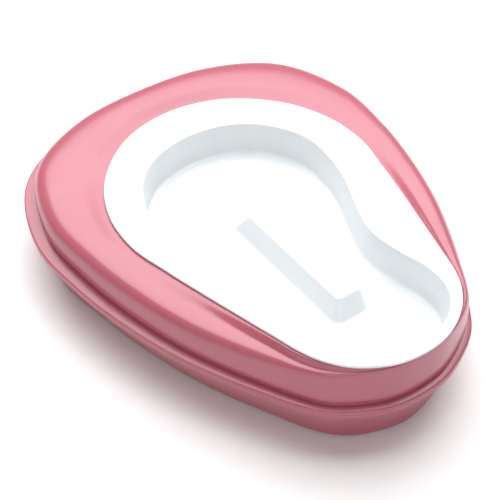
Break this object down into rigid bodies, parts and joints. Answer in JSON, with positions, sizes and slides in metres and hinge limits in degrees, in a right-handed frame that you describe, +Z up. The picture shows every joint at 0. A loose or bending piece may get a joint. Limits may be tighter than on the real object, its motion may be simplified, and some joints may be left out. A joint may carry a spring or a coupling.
{
  "type": "bedpan",
  "caption": "Teardrop bedpan: deep flared tray, flanged seat shell with a keyhole opening, and a lift-off lid with a recessed grip bar.",
  "frame": {"origin": "centre of the plan, on the surface that the tray stands on", "axes": "+X towards the narrow front end, +Y to the left side, +Z up"},
  "size_m": [0.3755, 0.296, 0.0881],
  "materials": {
    "tray_plastic": "satin moulded polypropylene",
    "seat_plastic": "satin moulded polypropylene",
    "lid_plastic": "satin moulded polypropylene"
  },
  "bodies": {
    "pan": {"base_pan": "tray_plastic", "seat_shell": "seat_plastic"},
    "lid": {"lid": "lid_plastic"}
  },
  "joints": [
    {"name": "lid_lift", "type": "slide", "parent": "pan", "child": "lid", "axis": [0, 0, 1], "range_m": [0, 0.1]}
  ]
}
